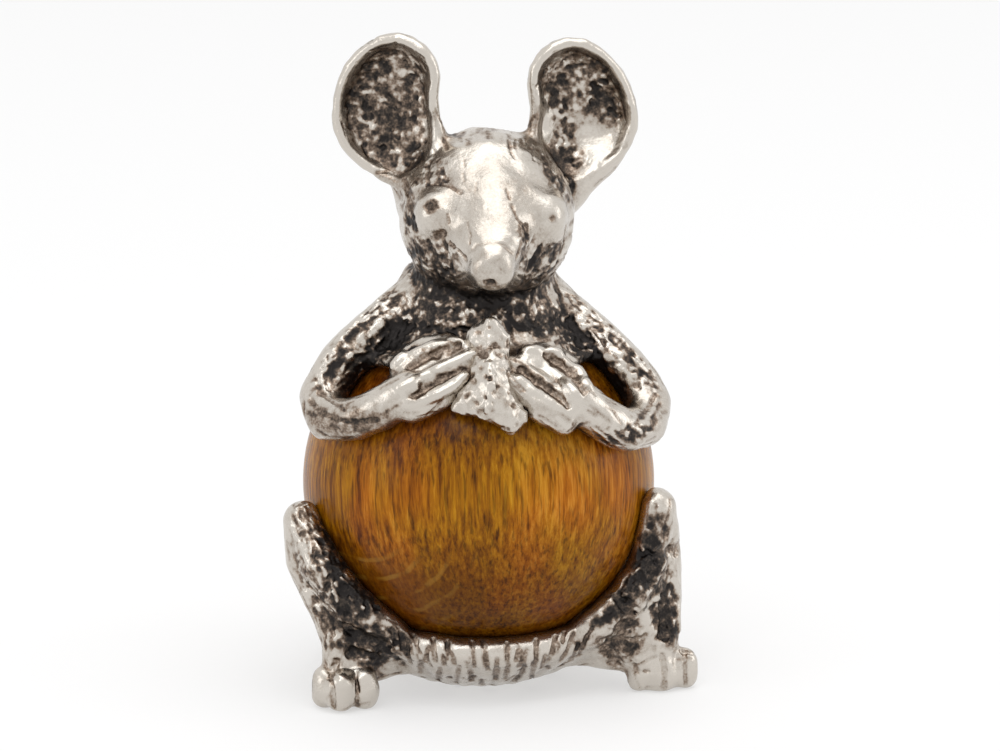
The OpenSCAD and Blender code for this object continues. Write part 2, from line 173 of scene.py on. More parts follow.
class Block:
    """A box of space on a regular grid, with the form as signed distance and its darkening as black oxide,
    with painted shade under the jaw and a painted dark reflection on the forearms.
    """

    def __init__(self, names, step):
        self.step = step
        meshes = {n: node_mesh(n) for n in names}
        points = np.concatenate([m[0] for m in meshes.values()])
        low, high = points.min(0) - MARGIN, points.max(0) + MARGIN
        self.first = np.floor(low / step).astype(int)
        self.shape = tuple(np.ceil(high / step).astype(int) - self.first + 1)
        self.nodes = {n: self.distance(*m) for n, m in meshes.items()}
        self.soot_and_shade = np.zeros(self.shape, np.float32)
        grain = blur(rng.standard_normal(self.shape, np.float32), RAGGED_CELLS)
        self.ragged = np.exp(RAGGED * grain / grain.std())

    def distance(self, points, triangles):
        """The signed distance from a closed mesh, on the block's grid."""
        grid = vdb.FloatGrid.createLevelSetFromPolygons(
            points.astype(np.float32),
            triangles=triangles.astype(np.uint32),
            transform=vdb.createLinearTransform(voxelSize=self.step),
            halfWidth=REACH / self.step,
        )
        out = np.empty(self.shape, np.float32)
        grid.copyToArray(out, ijk=tuple(int(v) for v in self.first))
        return out

    def axes(self, part=None):
        """Coordinates of the grid, or of a part of it, as three thin arrays."""
        part = part or [slice(0, s) for s in self.shape]
        xyz = [
            ((np.arange(p.start, p.stop) + f) * self.step).astype(np.float32)
            for p, f in zip(part, self.first)
        ]
        return np.meshgrid(*xyz, indexing="ij", sparse=True)

    def part(self, low, high):
        """The slices of the grid that hold a box, or None if it is outside."""
        i = np.clip(np.floor(low / self.step).astype(int) - self.first, 0, self.shape)
        j = np.clip(np.ceil(high / self.step).astype(int) - self.first + 1, 0, self.shape)
        return tuple(slice(a, b) for a, b in zip(i, j)) if (j > i).all() else None

    def sample(self, field, points):
        """Values of a field at points, whatever the shape of their array."""
        q = np.asarray(points, np.float32).reshape(-1, 3) / self.step - self.first
        return trilinear(field, q).reshape(np.shape(points)[:-1])

    def slope(self, field, points):
        """The direction in which a field grows fastest at points."""
        g = np.stack([
            self.sample(field, points + d) - self.sample(field, points - d)
            for d in np.eye(3, dtype=np.float32) * self.step
        ], axis=-1)
        return g / np.maximum(np.linalg.norm(g, axis=-1, keepdims=True), 1e-9)

    def seen(self, spots, near=False):
        """Where the photograph's lines of sight first meet the shape, or pass nearest to it."""
        aim = np.array([photo_point(*s) for s in spots]) - EYE
        aim /= np.linalg.norm(aim, axis=1, keepdims=True)
        reach = np.arange(DISTANCE - SIGHT_REACH, DISTANCE + SIGHT_REACH, SIGHT_STEP)
        way = EYE + aim[:, None, :] * reach[None, :, None]
        away = self.sample(self.form, way)
        hit = (away < 0).any(1)
        first = np.where(hit, (away < 0).argmax(1), away.argmin(1))
        found = way[np.arange(len(spots)), first]
        return found if near else found[hit]

    def stroke(self, path, width, depth, soot_and_shade):
        """Sinks a groove, or with a negative depth raises a ridge, along a path on the surface."""
        path = np.asarray(path, np.float32)
        if len(path) == 0:
            return
        wide = SOOT_AND_SHADE_SPREAD * width
        part = self.part(path.min(0) - wide, path.max(0) + wide)
        if part is None:
            return
        axes = self.axes(part)
        ends = [(path[0], path[0])] if len(path) == 1 else zip(path[:-1], path[1:])
        near = functools.reduce(np.minimum, (off_bar(axes, a, b)[0] for a, b in ends))
        if depth >= 0:
            near = near * self.ragged[part]
        fall = np.maximum(1 - near / width**2, 0)
        self.form[part] += depth * fall * fall
        fall = np.maximum(1 - near / wide**2, 0)
        self.soot_and_shade[part] += soot_and_shade * fall * fall

    def lump(self, a, b, radii, k):
        """Adds a rounded bar between two points, run into the shape over a length k."""
        a, b = np.asarray(a, np.float32), np.asarray(b, np.float32)
        wide = max(radii) + 2 * k
        part = self.part(np.minimum(a, b) - wide, np.maximum(a, b) + wide)
        near, t = off_bar(self.axes(part), a, b)
        away = np.sqrt(near) - (radii[0] + t * (radii[1] - radii[0]))
        self.form[part] = smooth_union(self.form[part], np.clip(away, -REACH, REACH), k)

    def soften(self, middle, radius, sigma):
        """Blurs the shape round a place, less and less towards the given radius."""
        part = self.part(middle - radius, middle + radius)
        near = squared(self.axes(part), middle) / radius**2
        share = np.clip(SOFT_EDGE * (1 - near), 0, 1)
        field = self.form[part]
        self.form[part] = field + share * (blur(field, sigma) - field)

    def under(self, spot, depth):
        """The point that lies a depth behind what the photograph shows at a pixel."""
        return self.seen([spot], near=True)[0] - depth * BACK

    def trace(self, spots, width, depth, soot_and_shade):
        """A stroke along a path of the photograph's pixels."""
        spots = np.asarray(spots, float).reshape(-1, 2)
        dense = [spots[:1]]
        for a, b in zip(spots[:-1], spots[1:]):
            n = max(1, int(np.hypot(*(b - a)) / PATH_STEP))
            dense.append(a + (b - a) * (np.arange(1, n + 1) / n)[:, None])
        self.stroke(self.seen(np.concatenate(dense)), width, depth, soot_and_shade)

    def surface(self, field, part, merge):
        """The skin on which a field is zero, in a part of the grid."""
        first = [int(f + p.start) for f, p in zip(self.first, part)]
        grid = vdb.FloatGrid(float(REACH))
        grid.copyFromArray(np.ascontiguousarray(field[part]), ijk=tuple(first))
        grid.transform = vdb.createLinearTransform(voxelSize=self.step)
        points, triangles, quads = grid.convertToPolygons(isovalue=0.0, adaptivity=merge)
        return whole_skin(points, [triangles, quads])


def whole_skin(points, kinds):
    """The largest connected skin alone, without stray crumbs, as points and lists of corners."""
    kinds = [k.astype(np.int64) for k in kinds if len(k)]
    a = np.concatenate([k.ravel() for k in kinds])
    b = np.concatenate([np.roll(k, 1, axis=1).ravel() for k in kinds])
    label = np.arange(len(points))
    before = None
    while before is None or (label != before).any():
        before = label.copy()
        low = np.minimum(label[a], label[b])
        np.minimum.at(label, a, low)
        np.minimum.at(label, b, low)
        label = label[label]
    keep = label == np.bincount(label).argmax()
    index = np.cumsum(keep) - 1
    return points[keep], [f for k in kinds for f in index[k[keep[k[:, 0]]]].tolist()]


def dent(block, sizes):
    """Makes a cast skin uneven, by bumps of given sizes and heights."""
    for sigma, height in sizes:
        wave = blur(rng.standard_normal(block.shape, np.float32), sigma)
        block.form += height / wave.std() * wave


def crowding(block):
    """How much of the space nearby is filled, ball included, on coarse cells."""
    size = [n // COARSE * COARSE for n in block.shape]
    ball = squared(block.axes([slice(0, n) for n in size]), BALL) < BALL_R**2
    full = (block.form[: size[0], : size[1], : size[2]] < 0) | ball
    split = [v for n in size for v in (n // COARSE, COARSE)]
    return blur(full.reshape(split).mean((1, 3, 5), dtype=np.float32), CROWD_CELLS)


def fit(block):
    """Cuts a casting to the ball and to the CAD model's box."""
    axes = block.axes()
    block.form = np.maximum(block.form, BALL_R + SEAM - np.sqrt(squared(axes, BALL)))
    block.crowd = crowding(block)
    for axis, low, high in zip(axes, cad_low, cad_high):
        block.form = np.maximum(block.form, low * MM - axis)
        block.form = np.maximum(block.form, axis - high * MM)


def put_in_scene(name, data):
    """A new object in the scene."""
    thing = bpy.data.objects.new(name, data)
    bpy.context.scene.collection.objects.link(thing)
    return thing


def show_piece(name, mesh):
    """Puts the visible piece of a node in the scene, in the node's place."""
    piece = put_in_scene("visual_" + name, mesh)
    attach(piece, "root")
    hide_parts(name)


def new_mesh(name, points, faces, material):
    """A mesh from points in millimetres."""
    mesh = bpy.data.meshes.new(name)
    mesh.from_pydata((np.asarray(points) / MM).tolist(), [], faces)
    mesh.materials.append(material)
    return mesh


def skin_mesh(name, points, faces, normals, values, material):
    """A smooth mesh with given normals, and with values at its points for the material."""
    mesh = new_mesh(name, points, faces, material)
    for key, v in values.items():
        mesh.attributes.new(key, "FLOAT", "POINT").data.foreach_set("value", v.astype(np.float32))
    mesh.polygons.foreach_set("use_smooth", [True] * len(mesh.polygons))
    mesh.update()
    mesh.normals_split_custom_set_from_vertices(normals.tolist())
    return mesh


# Shade comes from how open a place is, at three distances from it, and from how crowded it is
OPEN_AT = (0.25, 0.5, 1.0)
CROWD_FROM, CROWD_MOST, CROWD_SHADE = 0.52, 0.4, 2.2
PIECE_MARGIN = 1.1


def cast_piece(block, name, material):
    """A node's share of the casting, cut off just past half way to its neighbours."""
    own = block.nodes[name]
    rest = np.full(block.shape, REACH, np.float32)
    for n in block.nodes:
        if n != name:
            np.minimum(rest, block.nodes[n], out=rest)
    field = np.maximum(block.form, own - rest - block.step)
    low, high = node_box(name)
    part = block.part(low - PIECE_MARGIN, high + PIECE_MARGIN)
    points, faces = block.surface(field, part, MERGE.get(name, 0.0))
    normals = block.slope(field, points)
    skin = np.abs(block.sample(block.form, points)) < 0.5 * block.step
    normals[skin] = block.slope(block.form, points[skin])
    shade = np.zeros(len(points), np.float32)
    for d in OPEN_AT:
        open_way = block.sample(block.form, points + d * normals)
        shade += np.clip(1 - open_way / d, 0, 1) / len(OPEN_AT)
    crowd = trilinear(block.crowd, (points / block.step - block.first - (COARSE - 1) / 2) / COARSE)
    shade += CROWD_SHADE * np.clip(crowd - CROWD_FROM, 0, CROWD_MOST)
    # The darkening is black oxide, with painted shade and a painted dark reflection in some hollows
    soot_and_shade = MOST_SOOT_AND_SHADE * np.tanh(block.sample(block.soot_and_shade, points) / MOST_SOOT_AND_SHADE)
    mesh = skin_mesh(name, points, faces, normals, {"soot_and_shade": soot_and_shade, "shade": shade}, material)
    show_piece(name, mesh)


# Materials: silver that is black in its hollows, partly oxide and partly painted shade, and stained beech
# with painted shade


class Nodes:
    """Shorthand for the nodes of a material or a world."""

    def __init__(self, owner):
        owner.use_nodes = True
        self.owner = owner
        self.tree = owner.node_tree

    def add(self, kind, settings=None, **inputs):
        """A node with its settings and its inputs."""
        node = self.tree.nodes.new("ShaderNode" + kind)
        for k, v in (settings or {}).items():
            setattr(node, k, v)
        for k, v in inputs.items():
            self.put(node, k, v)
        return node

    def put(self, node, key, value):
        """Links or sets an input, whose name has underscores for spaces."""
        socket = node.inputs[key.replace("_", " ") if isinstance(key, str) else key]
        if isinstance(value, bpy.types.NodeSocket):
            self.tree.links.new(value, socket)
        else:
            socket.default_value = value

    def look(self, **inputs):
        """Sets what a material's main shader takes."""
        for k, v in inputs.items():
            self.put(self.tree.nodes["Principled BSDF"], k, v)

    def mix(self, kind, share, a, b):
        """One colour of two."""
        return self.add("MixRGB", {"blend_type": kind}, Fac=share, Color1=a, Color2=b).outputs[0]

    def blend(self, share, a, b):
        """One shader of two."""
        node = self.add("MixShader", Fac=share)
        self.put(node, 1, a)
        self.put(node, 2, b)
        return node.outputs["Shader"]

    def math(self, operation, a, b=0.0):
        node = self.add("Math", {"operation": operation})
        self.put(node, 0, a)
        self.put(node, 1, b)
        return node.outputs[0]

    def noise(self, where, scale, detail=3.0, rough=0.55, distortion=0.0):
        node = self.add(
            "TexNoise", Vector=where, Scale=scale, Detail=detail, Roughness=rough, Distortion=distortion
        )
        return node.outputs["Fac"]

    def ramp(self, value, *stops):
        node = self.add("ValToRGB", Fac=value)
        e = node.color_ramp.elements
        while len(e) < len(stops):
            e.new(0.5)
        for k, (at, colour) in enumerate(stops):
            e[k].position = at
            e[k].color = (*colour, 1)
        return node.outputs["Color"]

    def grey(self, value, *stops):
        return self.ramp(value, *[(at, (v, v, v)) for at, v in stops])

    def place(self, kind="POINT", **changes):
        """Places on the object, stretched, turned or shifted."""
        where = self.add("TexCoord").outputs["Object"]
        return self.add("Mapping", {"vector_type": kind}, Vector=where, **changes).outputs["Vector"]

    def lengthwise(self, stretch, lean):
        """Places for grain that is drawn out along an axis, which leans away from the front."""
        return self.place("TEXTURE", Scale=(1, 1, stretch), Rotation=(-lean, 0, 0))

    def value(self, name):
        return self.add("Attribute", {"attribute_name": name}).outputs["Fac"]

    def bump(self, height, strength, distance):
        return self.add("Bump", Strength=strength, Distance=distance, Height=height).outputs["Normal"]


def antique_silver(name):
    """Worn silver that turns brown and black where oxide and painted shade add up, with a ragged edge."""
    n = Nodes(bpy.data.materials.new(name))
    where = n.place()
    # The darkening: oxide with some painted shade, plus the painted shade of openness and crowding
    all_soot_and_shade = n.math("ADD", n.value("soot_and_shade"), n.value("shade"))
    rough = n.grey(all_soot_and_shade, (0.05, 0.35), (0.45, 1.0))
    black = all_soot_and_shade
    for scale, share in ((700, 0.2), (2600, 0.4), (5200, 0.65)):
        grain = n.math("MULTIPLY", n.math("SUBTRACT", n.noise(where, scale, 3), 0.5), rough)
        black = n.math("ADD", black, n.math("MULTIPLY", grain, share))
    colour = n.ramp(
        black, (0.0, (0.6, 0.556, 0.5)), (0.22, (0.47, 0.422, 0.368)), (0.42, (0.28, 0.216, 0.168)),
        (0.62, (0.125, 0.092, 0.07)), (0.8, (0.055, 0.045, 0.038)), (1.0, (0.022, 0.019, 0.018))
    )
    metal = n.grey(black, (0.4, 1.0), (0.9, 0.85))
    dull = n.grey(black, (0.0, 0.24), (0.4, 0.32), (0.8, 0.42))
    normal = n.bump(n.noise(where, 2600, 4), 0.2, 0.0002)
    n.look(Base_Color=colour, Metallic=metal, Roughness=dull, Normal=normal)
    return n.owner


def beech(name):
    """Stained, lacquered beech: upright streaks, short dark flecks, and arcs of ray at one side."""
    n = Nodes(bpy.data.materials.new(name))
    streak = n.noise(n.lengthwise(17, 0.2), 2300, 4, 0.7, 0.15)
    band = n.noise(n.place(Scale=(1, 1, 0.5)), 90, 3, 0.5, 0.4)
    tone = n.math("ADD", n.math("MULTIPLY", streak, 0.75), n.math("MULTIPLY", band, 0.45))
    tone = n.math("SUBTRACT", tone, 0.1)
    amber = n.ramp(
        tone, (0.36, (0.13, 0.038, 0.001)), (0.46, (0.29, 0.105, 0.002)), (0.55, (0.43, 0.178, 0.004)),
        (0.66, (0.62, 0.3, 0.018))
    )
    russet = n.ramp(
        tone, (0.36, (0.12, 0.026, 0.001)), (0.46, (0.28, 0.078, 0.002)), (0.55, (0.44, 0.138, 0.006)),
        (0.66, (0.6, 0.235, 0.026))
    )
    patch = n.grey(n.noise(n.place(Scale=(1, 1, 0.6)), 170, 2, 0.5), (0.46, 0.0), (0.66, 1.0))
    colour = n.mix("MIX", patch, amber, russet)
    fleck = n.noise(n.lengthwise(14, 0.16), 3600, 2, 0.5)
    fleck = n.grey(fleck, (0.54, 1.0), (0.66, 0.42))
    colour = n.mix("MULTIPLY", 0.85, colour, fleck)
    corner = n.add("SeparateXYZ", Vector=n.place(Scale=(-100, 1, -200), Location=(0, 0, 3.1))).outputs
    rays = n.grey(n.math("MINIMUM", corner["X"], corner["Z"]), (0.1, 0.0), (0.7, 1.0))
    colour = n.mix("MIX", n.math("MULTIPLY", rays, 0.5), colour, (0.25, 0.088, 0.004, 1))
    middle = n.place(Location=(0.0125, 0, -0.0175))
    rings = n.add(
        "TexWave", {"wave_type": "RINGS", "rings_direction": "Y"},
        Vector=middle, Scale=165.0, Distortion=2.6, Detail=2.0, Detail_Scale=1.2
    )
    arc = n.grey(rings.outputs["Fac"], (0.8, 0.0), (0.97, 1.0))
    short = n.grey(n.noise(n.place(), 420, 2, 0.5), (0.45, 0.0), (0.56, 0.6))
    arc = n.math("MULTIPLY", n.math("MULTIPLY", arc, short), rays)
    colour = n.mix("MIX", arc, colour, (0.6, 0.32, 0.06, 1))
    # Painted shade on the ball by height: darker towards the bottom, where a darker stain adds to it, nearly
    # none just above the middle, and darker again near the top, under the arms and paws
    height = n.add("SeparateXYZ", Vector=n.place(Scale=(1 / 0.034,) * 3)).outputs["Z"]
    shade = n.ramp(
        height, (0.08, (0.22, 0.17, 0.1)), (0.33, (0.45, 0.4, 0.27)), (0.55, (0.97, 0.96, 0.92)),
        (0.68, (0.74, 0.7, 0.7)), (0.78, (0.4, 0.34, 0.28)), (0.86, (0.2, 0.16, 0.12))
    )
    colour = n.mix("MULTIPLY", 1.0, colour, shade)
    normal = n.bump(streak, 0.1, 0.0002)
    n.look(Base_Color=colour, Specular_IOR_Level=0.12, Roughness=0.26, Normal=normal)
    return n.owner


def steel_post():
    """Plain steel for the hidden post, whose node stays as it is."""
    n = Nodes(bpy.data.materials.new("bright_steel"))
    n.look(Base_Color=(0.55, 0.55, 0.55, 1), Metallic=1.0, Roughness=0.3)
    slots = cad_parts["centre_post"].data.materials
    for k in range(len(slots)):
        slots[k] = n.owner


# What the photograph shows on the castings, at its pixels. A groove is (half width, depth, path), and a
# ridge, a rim or a cut of the strap is a path. Left and right are the viewer's, except in nodes' names

FACE = [
    (0.3, 0.45, [(450, 243), (458, 250), (466, 259)]), (0.32, 0.35, [(429, 242), (436, 256), (440, 268)]),
    (0.28, 0.32, [(444, 240), (449, 255), (453, 270)]), (0.15, 0.2, [(467, 221), (471, 236), (470, 244)]),
    (0.5, 0.35, [(438, 237), (443, 233)]), (0.18, 0.18, [(448, 213), (449, 222)]),
    (0.42, 0.35, [(408, 192), (412, 210), (417, 230)]), (0.17, 0.22, [(507, 190), (510, 199)]),
    (0.17, 0.24, [(512, 205), (517, 219), (524, 226)]), (0.36, 0.38, [(526, 226), (527, 241)]),
    (0.36, 0.32, [(541, 246), (531, 262), (524, 278)]), (0.22, 0.22, [(521, 243), (516, 259)]),
    (0.26, 0.26, [(549, 247), (540, 258), (533, 271)]), (0.2, 0.2, [(424, 241), (428, 262)]),
    (0.2, 0.22, [(417, 250), (423, 273)]), (0.22, 0.22, [(434, 263), (441, 281)]),
    (0.2, 0.18, [(566, 226), (563, 245), (557, 262)]), (0.16, 0.16, [(556, 247), (551, 263)]),
    (0.3, 0.8, [(486, 282), (492, 282)]),
    (0.26, 0.1, [(470, 252), (477, 245), (490, 242), (503, 245), (512, 253)]),
    (0.2, 0.22, [(509, 140), (511, 152), (515, 158)]), (0.16, 0.16, [(531, 147), (534, 160)]),
    (0.22, 0.26, [(543, 155), (545, 165), (548, 174)]), (0.4, 0.35, [(428, 165), (428, 183)]),
    (0.3, 0.3, [(442, 168), (447, 181)]), (0.22, 0.25, [(428, 185), (440, 184), (452, 187), (461, 193)]),
    (0.16, 0.15, [(464, 160), (465, 166)]), (0.14, 0.14, [(463, 173), (465, 181)]),
    (0.14, 0.12, [(477, 183), (476, 191)]), (0.2, 0.2, [(556, 172), (562, 186)]),
    (0.2, 0.2, [(570, 178), (572, 196)]), (0.22, 0.25, [(405, 178), (414, 198)]),
    (0.18, 0.2, [(394, 188), (402, 200)]),
]
RIDGES = [
    [(393, 364), (404, 352), (423, 341), (445, 337), (460, 340), (469, 347)],
    [(400, 387), (425, 374), (450, 361), (472, 352)],
    [(408, 404), (430, 397), (455, 386), (465, 375)],
    [(527, 349), (545, 347), (563, 353), (579, 366), (589, 385)],
    [(523, 358), (545, 365), (562, 379), (577, 396)],
    [(521, 379), (535, 391), (555, 403), (573, 411)],
]
PAWS = [
    (0.52, 0.42, [(411, 367), (427, 357), (442, 350), (458, 346)]),
    (0.48, 0.42, [(414, 396), (428, 388), (446, 378), (463, 370)]),
    (0.52, 0.42, [(547, 357), (560, 364), (573, 376), (583, 390)]),
    (0.48, 0.45, [(521, 370), (536, 381), (551, 391), (567, 406)]),
]
ARMS = [
    (0.32, 0.45, [(310, 400), (322, 412), (335, 418), (352, 422), (378, 419)]),
    (0.22, 0.25, [(320, 393), (333, 402), (345, 410)]), (0.38, 0.55, [(303, 404), (304, 413)]),
    (0.2, 0.18, [(318, 430), (330, 437)]), (0.2, 0.24, [(358, 327), (345, 347), (331, 367)]),
    (0.22, 0.22, [(392, 291), (380, 298)]), (0.16, 0.14, [(352, 328), (338, 348)]),
    (0.2, 0.2, [(331, 371), (327, 384)]), (0.16, 0.14, [(380, 415), (392, 408), (402, 403)]),
    (0.28, 0.35, [(594, 322), (600, 334), (604, 346)]), (0.3, -0.2, [(582, 322), (593, 334), (603, 348)]),
    (0.24, 0.28, [(617, 334), (625, 345), (636, 357)]), (0.32, 0.4, [(631, 363), (640, 371), (648, 378)]),
    (0.36, 0.28, [(636, 386), (639, 388)]),
    (0.22, 0.28, [(655, 395), (648, 407), (640, 418), (632, 428), (620, 432)]),
    (0.26, 0.26, [(580, 437), (595, 444), (612, 447)]), (0.2, 0.16, [(585, 314), (588, 322)]),
    (0.35, 0.3, [(555, 288), (560, 294)]), (0.3, 0.25, [(566, 296), (578, 297)]),
]
LEGS = [
    (0.22, 0.3, [(315, 548), (312, 562)]), (0.18, 0.22, [(317, 562), (321, 566)]),
    (0.16, 0.16, [(295, 557), (299, 552)]),
    (0.14, 0.14, [(294, 519), (298, 516), (303, 519), (303, 526), (298, 529), (294, 526), (294, 519)]),
    (0.2, 0.25, [(309, 573), (306, 590)]), (0.2, 0.2, [(312, 592), (320, 602)]),
    (0.55, 0.5, [(331, 578), (325, 597)]), (0.6, 0.5, [(345, 588), (343, 605), (348, 618)]),
    (0.9, 0.65, [(348, 628), (365, 638), (386, 645)]), (0.65, 0.5, [(350, 651), (374, 656)]),
    (0.45, 0.4, [(325, 617), (332, 633)]), (0.45, 0.4, [(337, 662), (332, 675)]),
    (0.26, 0.4, [(331, 676), (333, 690), (334, 707)]), (0.2, 0.22, [(356, 672), (357, 706)]),
    (0.22, 0.26, [(328, 678), (335, 672)]), (0.24, 0.26, [(357, 682), (358, 692)]),
    (0.7, 0.45, [(648, 558), (652, 586)]), (0.95, 0.8, [(620, 603), (632, 613), (624, 624)]),
    (0.75, 0.85, [(663, 598), (664, 636)]), (0.8, 0.5, [(604, 645), (618, 664)]),
    (0.6, 0.4, [(602, 640), (640, 640)]), (0.55, -0.25, [(643, 606), (648, 625), (655, 641)]),
    (0.3, 0.26, [(660, 514), (661, 521)]), (0.36, 0.26, [(658, 538), (666, 535)]),
    (0.9, 0.6, [(679, 547), (668, 551), (654, 555)]), (0.45, -0.2, [(672, 560), (678, 590), (679, 630)]),
    (0.24, 0.24, [(655, 527), (652, 540)]), (0.3, 0.32, [(662, 655), (664, 670), (664, 688)]),
    (0.24, 0.3, [(684, 652), (685, 684)]), (0.28, 0.3, [(681, 652), (690, 653)]),
    (0.22, 0.22, [(644, 671), (648, 671)]), (0.22, 0.22, [(634, 664), (637, 672)]),
]
STRAP = [
    [(407, 638), (410, 663)], [(413, 635), (420, 653)], [(428, 647), (425, 661)], [(433, 639), (435, 661)],
    [(443, 655), (444, 665)], [(452, 653), (454, 664)], [(448, 640), (446, 650)], [(472, 641), (474, 667)],
    [(482, 640), (486, 656)], [(486, 657), (488, 670)], [(497, 660), (495, 679)], [(507, 643), (507, 661)],
    [(508, 664), (505, 679)], [(526, 650), (522, 672), (513, 681)], [(536, 639), (535, 662), (530, 679)],
    [(555, 636), (552, 652), (546, 663)], [(573, 633), (568, 648), (560, 661)], [(578, 643), (570, 661)],
    [(586, 638), (578, 656)], [(470, 670), (471, 681)], [(459, 666), (456, 683)], [(481, 679), (482, 685)],
    [(545, 656), (541, 668)], [(518, 648), (516, 660)], [(592, 628), (584, 640)], [(440, 668), (438, 680)],
    [(421, 660), (420, 672)], [(400, 632), (403, 650)], [(392, 628), (394, 642)], [(564, 632), (562, 642)],
]
RIMS = [
    [(378, 40), (362, 51), (350, 66), (342, 84), (338, 104), (339, 124), (346, 143), (358, 157), (374, 166)],
    [(378, 40), (396, 39), (413, 44), (428, 54), (434, 68), (434, 82), (430, 96), (430, 112), (433, 130),
     (432, 150), (426, 166)],
    [(586, 42), (602, 51), (614, 66), (624, 84), (630, 104), (631, 122), (626, 140), (618, 155), (606, 167)],
    [(586, 42), (570, 41), (553, 48), (540, 58), (535, 72), (536, 88), (542, 104), (548, 118), (546, 134)],
]
# Bars that run the ears' backs down into the skull: two points, and the radii there
EAR_ROOTS = [
    ((9.97, 3.35, 46.1), (9.2, 2.9, 51.0), (1.44, 0.5)),
    ((6.6, 3.35, 46.1), (8.6, 2.9, 51.0), (1.44, 0.5)),
    ((10.6, 1.5, 44.2), (8.4, 1.2, 41.8), (1.2, 1.2)),
    ((-7.57, 3.45, 46.9), (-7.0, 2.7, 51.8), (1.44, 0.5)),
    ((-4.46, 2.19, 46.9), (-6.4, 2.5, 51.8), (1.44, 0.5)),
]
# The bar that fills the nape, the circle of the hem's fold behind, and that of the collar's edge
NAPE = ((0.5, 0.3, 35.5), (0.5, 2.6, 30.0), (4.2, 5.2))
HEM_R, HEM_AT = 8.2, np.array([0.0, 0.0, 29.9])
HEM_TURNS = np.linspace(-1.5, 1.5, 13)
COLLAR_R, COLLAR_AT = 5.3, np.array([0.0, 0.0, 32.6])
COLLAR_TURNS = (-1.0, 0.0, 1.0)
EAR_NAPES = ((8.3, 4.6, 46.0), (-6.0, 4.0, 46.8))
# Pixels: elbows, brow, nose, the snout's sides, toes with their thickness, and the crumb's forms
ELBOWS = [(312, 398), (652, 405)]
BROW = (490, 195)
NOSE = (491, 262)
SNOUT_SIDES = [((463, 196), (472, 238)), ((518, 196), (509, 238))]
TOES = [(((331, 690), (364, 690)), 1.15), (((652, 672), (683, 668)), 1.1)]
CRUMB_BARS = [((487, 345), (489, 408)), ((477, 338), (497, 340)), ((497, 362), (503, 412))]
CRUMB_HOLLOW = [(479, 352), (484, 356)]
CRUMB_FOLD = [(490, 364), (490, 388), (488, 410)]
# Pupils: pixel, half width, depth and darkness
PUPILS = (((429, 206), 0.62, 0.7, 0.9), ((553, 219), 0.42, 0.3, 0.4))
# The metal is polished, without cuts, this near to the nose and the brow
SMOOTH_NOSE, SMOOTH_BROW = 4.5, 6.2
# The ears' shells as the source draws them: outline in shares of the width and length, place and turn
EAR_SIZE = (9.6, 12.8)
EAR_MID = np.array([0.02, -0.03])
EAR_OUTLINE = np.array([
    [0.475, -0.02], [0.48, 0.11], [0.495, 0.22], [0.46, 0.33], [0.38, 0.415], [0.27, 0.47],
    [0.14, 0.5], [0, 0.48], [-0.14, 0.43], [-0.27, 0.355], [-0.37, 0.26], [-0.44, 0.15],
    [-0.49, 0.04], [-0.51, -0.07], [-0.5, -0.18], [-0.44, -0.285], [-0.345, -0.38], [-0.225, -0.46],
    [-0.085, -0.525], [0.08, -0.57], [0.25, -0.57], [0.41, -0.485], [0.5, -0.35], [0.51, -0.18],
])
EAR_LEAN = radians(-2)
EARS = [(1, (9.01, -0.198, 48.94), radians(2)), (-1, (-8.01, -0.198, 49.768), radians(-22))]


def ear_ring(side, place, turn, share, depth):
    """A ring in an ear's shell: its outline drawn in by a share, at a depth behind the rim."""
    q = EAR_MID + share * (EAR_OUTLINE - EAR_MID)
    x, z = -side * q[:, 0] * EAR_SIZE[0], q[:, 1] * EAR_SIZE[1]
    lean_c, lean_s, c, s = cos(EAR_LEAN), sin(EAR_LEAN), cos(turn), sin(turn)
    x, z = x * lean_c + z * lean_s, z * lean_c - x * lean_s
    return np.array(place) + np.stack([x * c - depth * s, x * s + depth * c, z], axis=1)


